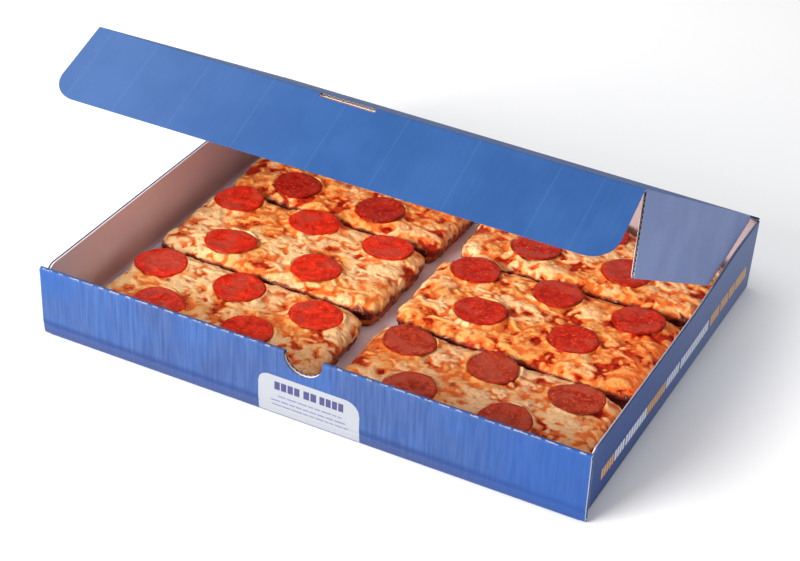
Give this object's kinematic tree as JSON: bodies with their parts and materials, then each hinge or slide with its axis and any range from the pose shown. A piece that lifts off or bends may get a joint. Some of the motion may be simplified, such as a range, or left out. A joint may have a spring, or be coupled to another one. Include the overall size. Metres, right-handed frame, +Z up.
{
  "type": "pizza in its box",
  "caption": "thick rectangular pepperoni pizza slices in a shallow corrugated takeaway box with a hinged tuck-in lid held half open",
  "frame": {"origin": "middle of the flat underside of the box", "axes": "+X to the right along the front wall, +Y from the front wall to the lid's hinge, +Z up"},
  "size_m": [0.386, 0.3388, 0.2085],
  "materials": {
    "printed_board": "corrugated board, printed blue outside, plain white inside, satin",
    "baked_crust": "baked dough stained with sauce, matte",
    "melted_cheese": "melted cheese over tomato sauce, slightly oily",
    "pepperoni": "cured sausage, speckled, oily"
  },
  "bodies": {
    "tray": {"tray": "printed_board", "dough_left_back": "baked_crust", "dough_left_front": "baked_crust", "dough_left_middle": "baked_crust", "dough_right_back": "baked_crust", "dough_right_front": "baked_crust", "dough_right_middle": "baked_crust", "pepperoni_left_back_1": "pepperoni", "pepperoni_left_back_2": "pepperoni", "pepperoni_left_back_3": "pepperoni", "pepperoni_left_back_4": "pepperoni", "pepperoni_left_back_5": "pepperoni", "pepperoni_left_front_1": "pepperoni", "pepperoni_left_front_2": "pepperoni", "pepperoni_left_front_3": "pepperoni", "pepperoni_left_front_4": "pepperoni", "pepperoni_left_front_5": "pepperoni", "pepperoni_left_middle_1": "pepperoni", "pepperoni_left_middle_2": "pepperoni", "pepperoni_left_middle_3": "pepperoni", "pepperoni_left_middle_4": "pepperoni", "pepperoni_left_middle_5": "pepperoni", "pepperoni_right_back_1": "pepperoni", "pepperoni_right_back_2": "pepperoni", "pepperoni_right_back_3": "pepperoni", "pepperoni_right_back_4": "pepperoni", "pepperoni_right_back_5": "pepperoni", "pepperoni_right_front_1": "pepperoni", "pepperoni_right_front_2": "pepperoni", "pepperoni_right_front_3": "pepperoni", "pepperoni_right_front_4": "pepperoni", "pepperoni_right_front_5": "pepperoni", "pepperoni_right_middle_1": "pepperoni", "pepperoni_right_middle_2": "pepperoni", "pepperoni_right_middle_3": "pepperoni", "pepperoni_right_middle_4": "pepperoni", "pepperoni_right_middle_5": "pepperoni", "topping_left_back": "melted_cheese", "topping_left_front": "melted_cheese", "topping_left_middle": "melted_cheese", "topping_right_back": "melted_cheese", "topping_right_front": "melted_cheese", "topping_right_middle": "melted_cheese"},
    "lid": {"lid": "printed_board"},
    "front_flap": {"front_flap": "printed_board"},
    "side_flap_left": {"side_flap_left": "printed_board"},
    "side_flap_right": {"side_flap_right": "printed_board"}
  },
  "joints": [
    {"name": "lid_hinge", "type": "hinge", "parent": "tray", "child": "lid", "pos_m": [0, 0.163, 0.0558], "axis": [-1, 0, 0], "range_deg": [-25.3, 151.7]},
    {"name": "front_flap_fold", "type": "hinge", "parent": "lid", "child": "front_flap", "pos_m": [0, -0.11875, 0.20751], "axis": [-1, 0, 0], "range_deg": [-39, 51]},
    {"name": "side_flap_left_fold", "type": "hinge", "parent": "lid", "child": "side_flap_left", "pos_m": [-0.183, 0.163, 0.0558], "axis": [0, 0.8805, -0.4741], "range_deg": [-53.1, 93]},
    {"name": "side_flap_right_fold", "type": "hinge", "parent": "lid", "child": "side_flap_right", "pos_m": [0.183, 0.163, 0.0558], "axis": [0, -0.8805, 0.4741], "range_deg": [-60, 86.1]}
  ]
}
